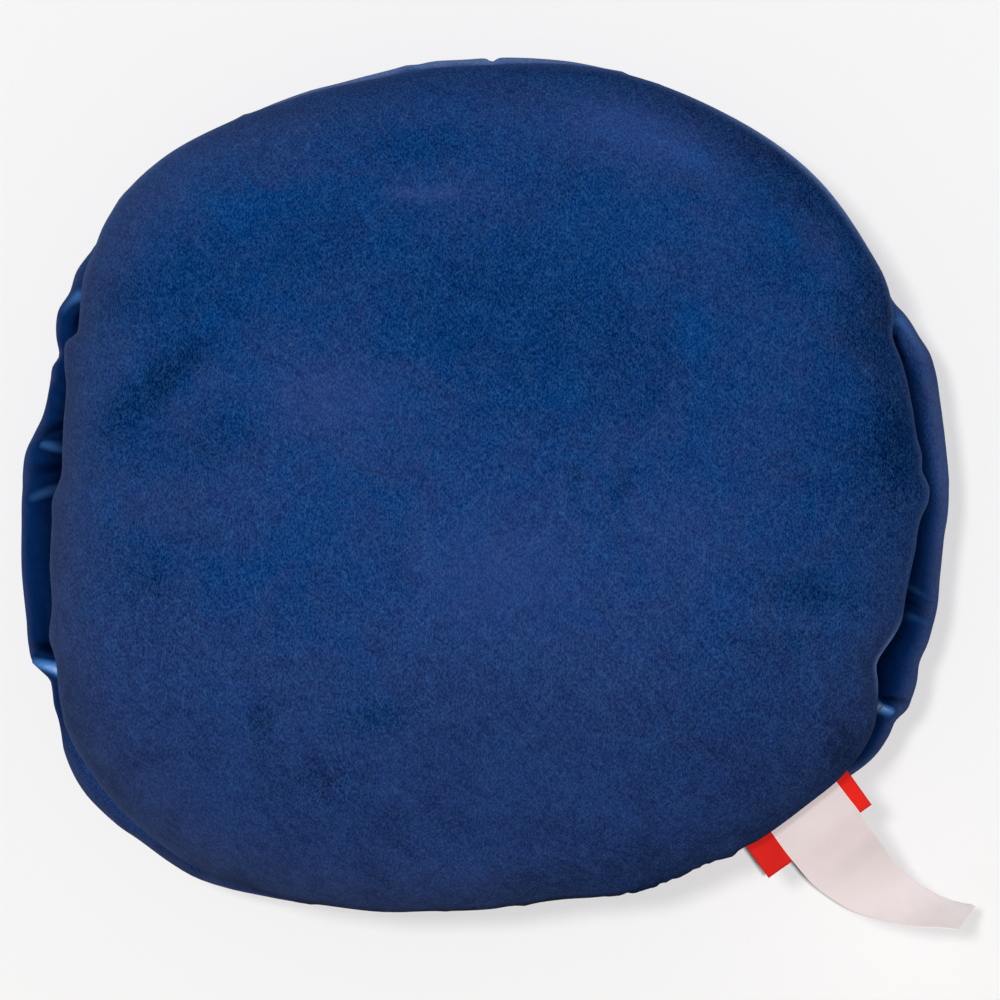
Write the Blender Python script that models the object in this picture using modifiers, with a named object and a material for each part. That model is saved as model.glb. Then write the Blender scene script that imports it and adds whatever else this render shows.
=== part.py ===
"""A filled velvet cushion lying on its front, with a woven label and a care label caught in its rim seam."""

import math

import bmesh
import bpy
from mathutils import Vector

MM = 0.001

# The filled cover, in millimetres above the surface on which it lies
CROWN_HEIGHT = 136.0
BACK_WIDEST_HEIGHT = 76.0
SEAM_HEIGHT = 62.0
FRONT_WIDEST_HEIGHT = 46.0
FLATTENED_BY = 4.5
BACK_FULLNESS = 2.4
FRONT_FULLNESS = 2.5
CROWN_ROUNDNESS = 2.0

# How the surface is divided and how far folds and short bends of the rim reach, angles in degrees
RIM_STEPS = 144
PANEL_STEPS = 32
CREASE_SHARE = 3 / 16
SIDE_CROWDING = 0.19
CALM_WIDTH = 34.0
FOLD_END = 52.0
CALM_END = 64.0
CREASE_REACH = 0.85
RIM_REACH = 0.35
CALM_STEPS = 5

# Rim, a row per section: angle in degrees, back panel, depth of the seam behind it, front panel
RIM = (
    (0, 175.6, 10.0, 185.2),
    (10, 173.7, 10.0, 184.6),
    (16, 173.4, 9.0, 185.9),
    (21, 174.4, 8.0, 182.4),
    (25, 178.2, 6.0, 178.7),
    (32, 179.8, 4.5, 178.8),
    (43, 180.2, 4.5, 178.6),
    (60, 175.9, 4.5, 174.6),
    (75, 172.4, 4.5, 173.2),
    (90, 167.6, 4.0, 171.0),
    (105, 168.0, 4.0, 170.4),
    (115, 171.6, 4.5, 173.2),
    (125, 177.2, 4.5, 176.6),
    (135, 183.3, 4.5, 182.0),
    (145, 184.6, 5.0, 183.2),
    (152, 181.6, 6.5, 183.7),
    (157, 176.2, 8.5, 184.9),
    (160, 175.4, 9.0, 183.2),
    (164, 175.0, 9.0, 178.9),
    (170, 170.8, 9.0, 179.2),
    (176, 169.6, 9.0, 184.6),
    (183, 173.0, 9.5, 185.9),
    (190, 176.8, 9.5, 188.4),
    (196, 181.0, 9.0, 191.4),
    (200, 184.7, 8.0, 194.6),
    (204, 187.4, 7.0, 191.3),
    (209, 192.5, 6.0, 195.6),
    (215, 194.9, 5.5, 202.0),
    (221, 195.1, 5.0, 201.9),
    (229, 192.8, 4.5, 197.4),
    (237, 189.3, 4.5, 192.4),
    (245, 183.9, 4.5, 183.6),
    (256, 175.8, 4.5, 174.4),
    (269, 169.7, 4.5, 168.5),
    (280, 168.5, 4.5, 167.4),
    (291, 173.8, 4.5, 172.4),
    (304, 178.0, 6.0, 177.2),
    (315, 181.2, 7.5, 180.6),
    (323, 184.3, 9.0, 188.2),
    (329, 182.6, 9.5, 189.8),
    (334, 174.2, 9.0, 191.2),
    (340, 173.9, 9.5, 188.6),
    (347, 174.0, 9.5, 186.0),
    (354, 175.0, 10.0, 184.9),
)

# Gathers of the front panel, a row per fold: angle, half its width in degrees, rise in millimetres
GATHERS = (
    (3.0, 2.4, 1.4),
    (8.0, 1.6, -1.8),
    (13.0, 2.0, 1.4),
    (17.6, 1.7, -3.0),
    (156.6, 1.6, 0.8),
    (158.6, 1.6, -3.0),
    (163.0, 1.8, 1.2),
    (166.6, 1.6, -3.0),
    (172.4, 1.6, -3.0),
    (175.2, 1.5, 2.0),
    (178.8, 1.4, -2.4),
    (181.3, 1.3, 1.6),
    (184.0, 1.5, -2.4),
    (189.0, 2.6, 1.2),
    (195.0, 3.0, -1.2),
    (200.6, 1.5, -3.4),
    (203.2, 1.3, 2.2),
    (330.6, 1.4, 1.6),
    (333.0, 1.4, -3.4),
    (337.6, 2.0, -1.2),
    (341.0, 1.6, 1.2),
    (344.6, 1.4, -2.4),
    (347.6, 1.6, 1.6),
    (352.6, 2.0, -1.4),
    (358.0, 1.8, -2.2),
)

# Pulls in the edge of the back panel, a row per fold, in the same columns
EDGE_PULLS = (
    (2.4, 1.5, -1.0),
    (359.6, 1.4, 2.2),
    (19.4, 1.6, -1.2),
    (158.6, 1.5, -1.4),
    (162.0, 1.6, 1.4),
    (335.4, 1.6, -1.4),
)

# Labels, in millimetres
SHEET = 1.0
ROOT_BEHIND_EDGE = 2.0
ROOT_STEPS = 12
WOVEN_WIDTH = 50.6
WOVEN_MIDDLE = (133.8, -142.7)
WOVEN_ALONG = (0.8146, 0.5800)
WOVEN_LAYER_GAP = 0.6
WOVEN_TOP = 0.5
CARE_ABOVE_WOVEN = 0.5
WOVEN_COLUMNS = 8
CARE_COLUMNS = 5
SHEET_ROWS = 22
LAYER_SHARE = 8 / SHEET_ROWS

# Care label, a row per section: one long edge x, y and drop, then the other long edge x, y and drop
CARE_SECTIONS = (
    (114.2, -138.8, 0.0, 139.6, -118.0, 0.0),
    (119.0, -145.6, -0.2, 144.6, -124.6, -0.2),
    (123.6, -151.4, -0.1, 149.2, -130.5, -0.1),
    (130.3, -159.2, 1.0, 154.6, -138.4, 3.2),
    (137.3, -164.8, 3.0, 159.6, -145.5, 11.0),
    (145.9, -170.1, 4.8, 165.3, -153.2, 19.6),
    (154.0, -173.1, 6.2, 170.5, -157.9, 26.4),
    (163.0, -175.3, 7.4, 176.5, -162.3, 31.4),
    (172.0, -176.9, 8.4, 183.2, -165.9, 35.2),
    (180.4, -177.3, 9.2, 189.9, -168.4, 38.0),
    (188.9, -178.1, 9.8, 197.0, -169.7, 40.0),
)

# Materials: name, colour, roughness, sheen
VELVET = ("navy_velvet", (0.0126, 0.0420, 0.1710, 1.0), 0.85, 0.6)
WOVEN = ("red_woven", (0.7160, 0.0200, 0.0080, 1.0), 0.70, 0.1)
SATIN = ("pale_satin", (0.8200, 0.7000, 0.7100, 1.0), 0.50, 0.1)


def clear_scene():
    for old in list(bpy.data.objects):
        bpy.data.objects.remove(old, do_unlink=True)


def make_material(name, colour, roughness, sheen):
    material = bpy.data.materials.new(name)
    material.use_nodes = True
    shader = material.node_tree.nodes["Principled BSDF"]
    shader.inputs["Base Color"].default_value = colour
    shader.inputs["Roughness"].default_value = roughness
    shader.inputs["Sheen Weight"].default_value = sheen
    material.diffuse_color = colour
    return material


def wrapped(degrees):
    return (degrees + 180.0) % 360.0 - 180.0


def rim_at(degrees):
    """Back radius, seam depth and front radius at an angle, on a smooth closed curve through the rows."""
    count = len(RIM)
    degrees = degrees % 360.0
    row = max(i for i in range(count) if RIM[i][0] <= degrees + 1e-9)
    picks = [RIM[(row + step) % count] for step in (-1, 0, 1, 2)]
    spans = [(picks[i + 1][0] - picks[i][0]) % 360.0 for i in range(3)]
    part = ((degrees - picks[1][0]) % 360.0) / spans[1]
    values = []
    for column in (1, 2, 3):
        before, start, end, after = [pick[column] for pick in picks]
        rise = (end - start) / spans[1]
        leave = 0.5 * ((start - before) / spans[0] + rise) * spans[1]
        arrive = 0.5 * (rise + (after - end) / spans[2]) * spans[1]
        square = part * part
        cube = square * part
        value = (2 * cube - 3 * square + 1) * start + (cube - 2 * square + part) * leave
        value += (3 * square - 2 * cube) * end + (cube - square) * arrive
        values.append(value)
    return values


def calm_rim_at(degrees):
    """The same outline with its short bends evened out, for the middle of a panel."""
    totals = [0.0, 0.0, 0.0]
    for step in range(-CALM_STEPS, CALM_STEPS + 1):
        share = CALM_STEPS + 1 - abs(step)
        values = rim_at(degrees + step * CALM_WIDTH / CALM_STEPS)
        totals = [total + share * value for total, value in zip(totals, values)]
    return [total / (CALM_STEPS + 1) ** 2 for total in totals]


def fold_rise(folds, degrees):
    """Sum of the folds at an angle."""
    rise = 0.0
    for angle, spread, height in folds:
        away = wrapped(degrees - angle) / spread
        rise += height * math.exp(-away * away)
    return rise


def eased(value):
    value = min(1.0, max(0.0, value))
    return value * value * (3.0 - 2.0 * value)


def cover_point(degrees, panel):
    """Point of the cover: panel runs from -1, the middle of the front, past 0, the seam, to 1, the crown."""
    back, depth, front = rim_at(degrees)
    seam = min(back, front) - depth
    widest = back if panel > 0 else front
    widest_height = BACK_WIDEST_HEIGHT if panel > 0 else FRONT_WIDEST_HEIGHT
    share = abs(panel)
    if share < CREASE_SHARE:
        turn = 0.5 * math.pi * (1.0 - share / CREASE_SHARE)
        radius = seam + (widest - seam) * math.cos(turn)
        height = widest_height + (SEAM_HEIGHT - widest_height) * math.sin(turn)
        lean = (math.cos(turn), -math.copysign(math.sin(turn), panel))
        out = share / CREASE_SHARE
        reach = eased(out) if panel > 0 else CREASE_REACH * math.sin(math.pi * out) + RIM_REACH * out
    else:
        turn = 0.5 * math.pi * (share - CREASE_SHARE) / (1.0 - CREASE_SHARE)
        fullness = BACK_FULLNESS if panel > 0 else FRONT_FULLNESS
        calm = calm_rim_at(degrees)[0 if panel > 0 else 2]
        widest += (calm - widest) * eased(turn / math.radians(CALM_END))
        radius = widest * max(0.0, math.cos(turn)) ** (2.0 / fullness)
        swell = math.sin(turn) ** (2.0 / CROWN_ROUNDNESS)
        if panel > 0:
            height = widest_height + (CROWN_HEIGHT - widest_height) * swell
        else:
            height = max(0.0, widest_height - (widest_height + FLATTENED_BY) * swell)
        lean = (math.cos(turn), math.copysign(math.sin(turn), panel))
        reach = 1.0 - eased(turn / math.radians(FOLD_END))
        reach *= 1.0 if panel > 0 else RIM_REACH
    folds = EDGE_PULLS if panel > 0 else GATHERS
    rise = fold_rise(folds, degrees) * reach
    radius += rise * lean[0]
    height = max(0.0, height + rise * lean[1]) if height > 0.0 else 0.0
    angle = math.radians(degrees)
    return Vector((radius * math.cos(angle), radius * math.sin(angle), height)) * MM


def build_cushion(home, material):
    mesh = bpy.data.meshes.new("cushion")
    body = bmesh.new()
    bmesh.ops.create_uvsphere(body, u_segments=RIM_STEPS, v_segments=PANEL_STEPS, radius=1.0)
    for vert in body.verts:
        turn = math.atan2(vert.co.y, vert.co.x)
        turn -= SIDE_CROWDING * math.sin(2.0 * turn)
        panel = math.asin(max(-1.0, min(1.0, vert.co.z))) / (0.5 * math.pi)
        panel = round(panel * PANEL_STEPS / 2) / (PANEL_STEPS / 2)
        vert.co = cover_point(math.degrees(turn), panel)
    for face in body.faces:
        face.smooth = True
    body.to_mesh(mesh)
    body.free()
    mesh.materials.append(material)
    cushion = bpy.data.objects.new("cushion", mesh)
    home.objects.link(cushion)


def build_sheet(name, home, material, columns, place):
    """A ribbon of even thickness: place gives the middle of the cloth at a share of its width and length."""
    mesh = bpy.data.meshes.new(name)
    ribbon = bmesh.new()
    bmesh.ops.create_grid(ribbon, x_segments=columns, y_segments=SHEET_ROWS, size=0.5)
    for vert in ribbon.verts:
        vert.co = place(vert.co.x + 0.5, vert.co.y + 0.5)
    for face in ribbon.faces:
        face.smooth = True
    ribbon.to_mesh(mesh)
    ribbon.free()
    mesh.materials.append(material)
    sheet = bpy.data.objects.new(name, mesh)
    home.objects.link(sheet)
    thicken = sheet.modifiers.new("thickness", "SOLIDIFY")
    thicken.thickness = SHEET * MM
    thicken.offset = 0.0
    thicken.use_even_offset = True


def root_point(start, outward):
    """Where a label's cloth ends in the crease, going inwards from a point outside the rim."""
    point = start.copy()
    for step in range(ROOT_STEPS):
        angle = math.degrees(math.atan2(point.y, point.x))
        back, depth, front = rim_at(angle)
        point -= outward * (point.length - min(back, front) + ROOT_BEHIND_EDGE)
    return point


def woven_place(across, along):
    """Ribbon folded double: out along the lower layer, round the fold and back along the upper one."""
    side = Vector(WOVEN_ALONG).normalized()
    outward = Vector((side.y, -side.x))
    fold = 0.5 * (WOVEN_LAYER_GAP + SHEET)
    edge = Vector(WOVEN_MIDDLE) + side * WOVEN_WIDTH * (across - 0.5) - outward * (fold + 0.5 * SHEET)
    root = root_point(edge, outward)
    middle = SEAM_HEIGHT + WOVEN_TOP - 0.5 * SHEET - fold
    if along <= LAYER_SHARE:
        spot = root.lerp(edge, along / LAYER_SHARE)
        height = middle - fold
    elif along < 1.0 - LAYER_SHARE:
        turn = math.pi * (along - LAYER_SHARE) / (1.0 - 2.0 * LAYER_SHARE)
        spot = edge + outward * fold * math.sin(turn)
        height = middle - fold * math.cos(turn)
    else:
        spot = root.lerp(edge, (1.0 - along) / LAYER_SHARE)
        height = middle + fold
    return Vector((spot.x, spot.y, height)) * MM


def section_at(along):
    """Care label section at a share of its length, smoothly between the rows."""
    place = along * (len(CARE_SECTIONS) - 1)
    row = min(len(CARE_SECTIONS) - 2, int(place))
    part = place - row
    picks = [CARE_SECTIONS[min(len(CARE_SECTIONS) - 1, max(0, row + step))] for step in (-1, 0, 1, 2)]
    values = []
    for column in range(6):
        before, start, end, after = [pick[column] for pick in picks]
        value = start + 0.5 * part * (end - before)
        value += 0.5 * part * part * (2 * before - 5 * start + 4 * end - after)
        value += 0.5 * part * part * part * (3 * start - before - 3 * end + after)
        values.append(value)
    return values


def care_place(across, along):
    values = section_at(along)
    one = Vector(values[0:3])
    other = Vector(values[3:6])
    spot = one.lerp(other, across)
    if along == 0.0:
        side = (other.xy - one.xy).normalized()
        outward = Vector((side.y, -side.x))
        flat = root_point(spot.xy, outward)
        spot = Vector((flat.x, flat.y, spot.z))
    height = SEAM_HEIGHT + WOVEN_TOP + CARE_ABOVE_WOVEN + 0.5 * SHEET - spot.z
    return Vector((spot.x, spot.y, height)) * MM


clear_scene()
bpy.context.scene.unit_settings.system = "METRIC"
group = bpy.data.collections.new("cushion_with_labels")
bpy.context.scene.collection.children.link(group)
build_cushion(group, make_material(*VELVET))
build_sheet("woven_label", group, make_material(*WOVEN), WOVEN_COLUMNS, woven_place)
build_sheet("care_label", group, make_material(*SATIN), CARE_COLUMNS, care_place)
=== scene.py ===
import math

import bpy
import numpy as np
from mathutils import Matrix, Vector


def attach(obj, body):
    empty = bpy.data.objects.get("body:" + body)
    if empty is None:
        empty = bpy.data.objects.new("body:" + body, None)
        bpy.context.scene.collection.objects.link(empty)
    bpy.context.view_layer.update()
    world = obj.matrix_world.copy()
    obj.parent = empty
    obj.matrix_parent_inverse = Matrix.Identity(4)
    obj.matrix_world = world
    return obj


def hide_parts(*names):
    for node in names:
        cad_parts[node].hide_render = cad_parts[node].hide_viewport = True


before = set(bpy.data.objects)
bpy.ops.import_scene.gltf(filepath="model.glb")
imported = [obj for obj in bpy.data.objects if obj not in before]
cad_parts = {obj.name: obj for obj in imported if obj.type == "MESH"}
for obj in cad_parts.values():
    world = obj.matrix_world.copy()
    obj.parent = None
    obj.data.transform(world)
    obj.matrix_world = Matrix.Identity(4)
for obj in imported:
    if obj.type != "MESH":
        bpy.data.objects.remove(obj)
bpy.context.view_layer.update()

MM = 0.001

# The filled cover, in millimetres above the floor, as its solid has it
CROWN_HEIGHT = 136.0
BACK_WIDEST_HEIGHT = 76.0
SEAM_HEIGHT = 62.0
FRONT_WIDEST_HEIGHT = 46.0
FLATTENED_BY = 4.5
BACK_FULLNESS = 2.4
FRONT_FULLNESS = 2.5
CROWN_ROUNDNESS = 2.0
CREASE_SHARE = 3 / 16

# How widely the outline's short bends are evened out, and how far past a panel's widest line its own
# outline and its folds still show, in degrees
CALM_WIDTH = 34.0
CALM_END = 64.0
FOLD_END = 52.0

# Rim, a row per section: angle in degrees, back panel, depth of the seam behind it, front panel
RIM = (
    (0.4, 176.0, 10.0, 185.8),
    (1.8, 174.2, 10.0, 185.6),
    (3.6, 174.4, 10.0, 185.3),
    (6.0, 173.2, 10.0, 185.1),
    (10.0, 172.9, 10.0, 185.2),
    (14.0, 173.1, 9.6, 186.0),
    (16.5, 173.1, 9.2, 185.7),
    (19.0, 173.0, 8.6, 183.6),
    (20.4, 173.3, 8.2, 182.8),
    (22.0, 175.6, 7.2, 181.6),
    (24.0, 177.4, 6.2, 179.4),
    (26.5, 178.9, 5.4, 178.6),
    (32.0, 179.4, 4.5, 178.8),
    (43.0, 180.0, 4.5, 178.6),
    (60.0, 175.4, 4.5, 175.0),
    (75.0, 172.0, 4.5, 173.4),
    (90.0, 167.2, 4.0, 171.1),
    (97.0, 167.3, 4.0, 171.1),
    (105.0, 167.6, 4.0, 170.5),
    (111.0, 169.6, 4.2, 171.5),
    (115.0, 171.4, 4.5, 173.3),
    (119.0, 173.4, 4.5, 174.7),
    (125.0, 176.8, 4.5, 177.0),
    (135.0, 183.2, 4.5, 182.4),
    (141.0, 184.8, 4.6, 183.8),
    (146.0, 183.9, 5.0, 183.4),
    (149.0, 182.0, 6.0, 183.5),
    (152.5, 180.6, 7.0, 184.9),
    (155.2, 177.6, 8.0, 183.7),
    (157.8, 175.0, 8.6, 184.9),
    (159.7, 173.8, 9.0, 183.6),
    (161.2, 176.6, 9.0, 181.7),
    (163.2, 175.4, 9.0, 178.6),
    (164.8, 173.8, 9.0, 179.9),
    (166.5, 171.9, 9.0, 179.4),
    (169.5, 170.5, 9.0, 179.1),
    (171.4, 170.1, 9.0, 179.8),
    (173.4, 169.6, 9.0, 181.9),
    (176.0, 169.2, 9.2, 184.8),
    (178.7, 169.2, 9.4, 185.6),
    (180.4, 170.9, 9.5, 185.6),
    (181.8, 172.6, 9.5, 186.0),
    (185.2, 173.6, 9.5, 186.8),
    (190.0, 176.3, 9.5, 188.9),
    (195.9, 179.8, 9.0, 191.6),
    (199.5, 184.5, 8.0, 194.3),
    (201.2, 184.8, 7.6, 195.0),
    (202.6, 185.4, 7.2, 193.4),
    (204.2, 187.1, 7.0, 191.4),
    (205.4, 188.6, 6.6, 192.3),
    (207.2, 190.6, 6.2, 194.4),
    (209.4, 192.6, 6.0, 195.6),
    (212.2, 194.2, 5.7, 199.6),
    (215.8, 194.6, 5.5, 202.3),
    (219.0, 194.8, 5.2, 202.4),
    (222.2, 194.7, 5.0, 201.2),
    (226.0, 193.6, 4.7, 198.8),
    (230.2, 192.6, 4.5, 197.4),
    (233.6, 190.7, 4.5, 195.8),
    (237.0, 188.6, 4.5, 192.5),
    (241.4, 185.6, 4.5, 187.6),
    (245.0, 182.9, 4.5, 184.2),
    (250.0, 179.0, 4.5, 178.6),
    (256.0, 175.6, 4.5, 174.4),
    (263.0, 171.4, 4.5, 170.6),
    (269.0, 169.8, 4.5, 168.5),
    (280.0, 168.2, 4.5, 167.4),
    (285.0, 170.4, 4.5, 169.4),
    (291.0, 173.6, 4.5, 172.4),
    (300.0, 175.4, 5.4, 174.4),
    (304.0, 177.6, 6.0, 177.0),
    (315.0, 181.0, 7.5, 180.4),
    (321.0, 183.8, 8.6, 186.8),
    (325.0, 184.0, 9.0, 190.2),
    (328.2, 182.5, 9.4, 190.5),
    (330.0, 180.2, 9.4, 189.8),
    (332.0, 177.3, 9.2, 191.6),
    (333.4, 175.0, 9.2, 191.2),
    (335.2, 171.7, 9.0, 190.4),
    (337.8, 172.3, 9.2, 188.3),
    (340.3, 174.1, 9.5, 188.5),
    (342.0, 174.6, 9.5, 188.2),
    (344.8, 173.5, 9.5, 187.7),
    (348.0, 173.1, 9.5, 186.2),
    (351.5, 173.4, 9.7, 185.3),
    (353.8, 173.4, 9.9, 185.2),
    (355.7, 174.3, 10.0, 185.6),
    (357.4, 176.4, 10.0, 185.8),
    (359.4, 177.0, 10.0, 185.8),
)

# Folds of the full front panel at the drawn-in sides, in plan, a row per fold:
# x and y of its inner end, x and y of its outer end, half width, rise, painted highlight (below 0, painted
# shade)
SIDE_FOLDS = (
    (-162.3, 75.1, -167.8, 69.6, 3.0, 1.2, 0.50),
    (-162.6, 68.4, -166.4, 61.0, 2.8, -2.2, -0.95),
    (-167.0, 56.8, -171.4, 52.4, 1.6, -1.4, -0.50),
    (-166.8, 40.2, -173.4, 43.8, 3.0, -1.5, -0.60),
    (-169.0, 30.4, -173.9, 36.6, 3.2, 1.2, 0.12),
    (-167.0, 25.4, -178.8, 20.6, 3.2, -2.6, -1.00),
    (-168.0, 13.1, -175.8, 16.2, 2.6, 2.0, 0.85),
    (-168.6, 7.8, -181.0, 5.6, 4.6, -2.0, -0.95),
    (-171.0, -1.6, -180.0, -5.3, 2.8, 1.5, 0.50),
    (-173.0, -7.7, -181.4, -10.2, 1.9, -1.2, -0.70),
    (-175.0, -20.0, -178.0, -26.0, 6.0, 0.5, 0.06),
    (-175.4, -60.0, -178.2, -38.0, 5.0, -0.8, -0.50),
    (-172.0, -66.4, -181.4, -65.4, 2.6, -2.6, -1.05),
    (-170.0, -73.8, -179.0, -70.2, 2.6, 2.4, 1.10),
    (165.0, 65.4, 174.2, 52.4, 3.4, 1.1, 0.34),
    (164.0, 59.0, 168.4, 51.6, 2.6, -2.6, -1.00),
    (168.4, 51.6, 180.0, 33.2, 2.0, -1.2, -0.45),
    (171.4, 45.8, 173.4, 27.8, 3.0, 0.3, 0.12),
    (168.0, -41.0, 178.6, -47.4, 2.2, 1.2, 0.34),
    (166.6, -45.4, 178.0, -50.6, 2.6, -2.8, -1.00),
    (169.0, -52.0, 177.0, -55.0, 2.4, 1.2, 0.30),
    (160.1, -85.8, 169.4, -87.4, 1.8, -1.8, -0.95),
    (156.8, -88.4, 161.2, -90.2, 2.2, 2.2, 1.34),
)

# Where the front panel's sides are painted in shade, a row per stretch: middle angle, half its width in
# degrees, and how far out from the seam that painted shade stays full, as a share of the way to the widest
# line
SHADED_SIDES = (
    (178.0, 29.0, 0.60),
    (338.0, 16.0, 0.42),
    (8.0, 16.0, 0.22),
)

# How far past each end of a stretch that painted shade fades away, in degrees
SIDE_SHADE_FADE = 8.0

# Pulls and small gathers in the edge of the back panel, a row per fold:
# angle, half its width in degrees, rise in millimetres
EDGE_PULLS = (
    (19.2, 1.5, -0.5),
    (240.0, 1.8, -0.4),
    (118.0, 1.6, -0.4),
    (273.4, 0.9, -0.35),
    (290.3, 0.7, 0.45),
    (292.5, 0.6, 0.35),
    (303.4, 0.9, 0.80),
    (305.6, 1.0, -0.50),
)

# The same in the front panel's edge, where it shows beyond the back panel at the top
FRONT_PULLS = (
    (89.1, 0.6, -1.5),
    (93.5, 3.0, -0.5),
    (99.0, 1.4, -0.4),
)

# Tiny gathers along one stretch of the lower edge, where the cover was sewn shut:
# angles in degrees, how many gathers apart they are strongest, depth in millimetres
SHUT_FROM = 286.0
SHUT_TO = 306.0
SHUT_FADE = 3.0
SHUT_PITCH = 1.55
SHUT_BEAT = 3.7
SHUT_DEPTH = 0.6

# Small puckers beside the seam all round: how many, rise in millimetres, half width in degrees
PUCKERS = 64
PUCKER_RISE = 3.6
PUCKER_SPREAD = 1.5

# How much of that rise the puckers keep below the front panel's widest line, and above the back panel's
UNDER_PUCKERS = 1.0
TOP_PUCKERS = 0.14

# Sides where the front panel shows its own folds and no puckers, a row per stretch:
# middle angle, half width in degrees, share of the puckers left out
SEEN_SIDES = (
    (176.0, 30.0, 1.0),
    (352.0, 34.0, 1.0),
)

# Soft lumps of the filling: how far apart and how high, in millimetres
LUMP_LENGTHS = (96.0, 71.0, 58.0, 43.0)
LUMP_RISE = 0.8

# Sides of the cover that need more mesh, a row per stretch:
# middle angle, half width in degrees, how much more
FINER_SIDES = (
    (180.0, 30.0, 2.3),
    (352.0, 34.0, 2.3),
    (296.0, 11.0, 2.0),
    (90.0, 9.0, 2.0),
)

# Marks where the pile is brushed another way, a row per mark:
# x, y, half length, half width, direction in degrees, cooler (below 0, warmer), lighter (below 0, darker)
BRUSHED = (
    (-130.2, 39.8, 31.0, 7.5, 42.0, 0.95, -0.46),
    (-146.2, 73.8, 13.0, 8.0, 45.0, 0.50, -0.22),
    (21.8, 61.8, 68.0, 34.0, -14.0, 0.70, -0.15),
    (-74.2, 93.8, 52.0, 20.0, 10.0, 0.50, 0.00),
    (-26.2, 133.8, 26.0, 8.0, 5.0, 0.60, -0.10),
    (33.8, 117.8, 20.0, 12.0, 0.0, 0.50, 0.00),
    (61.8, 141.8, 34.0, 12.0, -24.0, -0.35, 0.45),
    (81.8, 129.8, 8.0, 4.0, -10.0, 0.50, 0.50),
    (117.8, 99.8, 9.0, 5.0, -50.0, 0.80, 0.50),
    (81.8, 61.8, 11.0, 6.0, 90.0, 0.80, 0.35),
    (-94.2, 109.8, 24.0, 8.0, 5.0, 0.40, 0.20),
    (-110.2, 63.8, 6.0, 4.0, 40.0, 0.90, 0.40),
    (-24.2, 115.0, 16.0, 2.6, 0.0, -0.80, 0.30),
    (-58.2, 33.8, 28.0, 12.0, 0.0, -0.60, 0.15),
    (-130.2, -6.2, 24.0, 12.0, 0.0, -0.50, 0.12),
    (-70.2, -42.2, 44.0, 28.0, 0.0, 0.30, 0.00),
    (1.8, -34.2, 36.0, 24.0, 0.0, -0.50, 0.10),
    (-88.2, -94.2, 9.0, 5.0, 80.0, 0.50, -0.30),
    (-44.2, -92.2, 16.0, 6.0, 15.0, 0.50, -0.18),
    (-62.2, -118.2, 18.0, 12.0, 0.0, 0.40, -0.16),
    (53.8, -2.2, 10.0, 3.2, 62.0, 0.40, -0.35),
    (35.8, 1.0, 8.0, 3.2, 80.0, 0.30, -0.30),
    (-34.2, -30.2, 16.0, 4.0, 90.0, 0.20, -0.20),
    (125.8, -42.2, 26.0, 7.0, -8.0, 0.30, -0.35),
    (107.8, -62.2, 24.0, 5.0, 0.0, 0.20, -0.20),
    (143.8, -104.2, 16.0, 12.0, 90.0, 0.10, -0.20),
    (144.0, 66.0, 28.0, 14.0, -65.0, 0.10, -0.25),
    (160.8, 13.8, 19.0, 12.0, 90.0, 0.50, -0.42),
    (135.8, 91.8, 16.0, 8.0, -60.0, -0.30, 0.35),
    (-2.2, -138.2, 80.0, 8.0, 0.0, -0.10, -0.12),
    (-134.2, -38.2, 10.0, 10.0, 0.0, 0.20, -0.25),
    (65.8, 33.8, 8.0, 3.0, 60.0, 0.40, -0.30),
    (-104.2, 19.8, 14.0, 11.0, 40.0, 0.50, -0.14),
    (139.8, -0.2, 26.0, 46.0, 0.0, 0.20, -0.24),
    (101.8, -98.2, 50.0, 38.0, 30.0, 0.10, -0.18),
    (-130.2, -8.2, 24.0, 40.0, 0.0, 0.10, -0.20),
    (-120.0, 76.0, 20.0, 16.0, 0.0, 0.30, -0.12),
    (114.0, 86.0, 16.0, 14.0, 0.0, 0.30, -0.12),
)

# How the pile is painted along the edge, a row per place: angle, how much painted grey sheen, how much
# lighter the outer band of the back panel is painted (below 0, painted shade), how pale its very edge is
# painted as sheen (below 0, how dark as painted shade), how pale the front panel's edge is painted as
# sheen, and how dark the crease between the panels is painted as shade
EDGE_PAINTED_LIGHT = (
    (0.0, 0.00, -0.30, 0.20, 0.03, 1.0),
    (15.0, 0.00, -0.40, 0.10, 0.00, 1.0),
    (30.0, 0.00, -0.50, 0.30, 0.08, 0.5),
    (45.0, 0.00, -0.60, 0.90, 0.20, 0.2),
    (60.0, 0.00, -0.52, 0.35, 0.25, 0.1),
    (75.0, 0.00, -0.48, 0.15, 0.34, 0.1),
    (90.0, 0.05, -0.22, 0.05, 0.38, 0.1),
    (105.0, 0.15, -0.22, 0.05, 0.38, 0.1),
    (120.0, 0.50, -0.12, 0.10, 0.20, 0.3),
    (135.0, 0.60, 0.18, 0.25, 0.20, 0.3),
    (150.0, 0.75, 0.05, 0.20, 0.10, 0.6),
    (158.0, 0.80, 0.00, 0.10, 0.00, 1.0),
    (180.0, 1.00, 0.00, 0.08, 0.00, 1.0),
    (200.0, 1.00, 0.00, 0.08, 0.00, 0.8),
    (212.0, 1.00, 0.00, 0.12, 0.02, 0.2),
    (230.0, 1.00, 0.00, 0.08, -0.14, 0.2),
    (245.0, 1.00, -0.02, -0.48, -0.20, 0.3),
    (260.0, 0.90, 0.00, -0.50, -0.42, 0.3),
    (275.0, 0.75, -0.16, -0.62, -0.45, 0.3),
    (290.0, 0.20, -0.36, -0.52, -0.35, 0.5),
    (310.0, 0.40, -0.22, -0.10, 0.00, 1.0),
    (331.0, 0.50, -0.22, 0.05, 0.00, 1.0),
    (334.5, 0.50, -0.22, 0.62, 0.00, 1.0),
    (339.5, 0.50, -0.22, 0.62, 0.00, 1.0),
    (343.0, 0.40, -0.22, 0.05, 0.00, 1.0),
)
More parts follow.
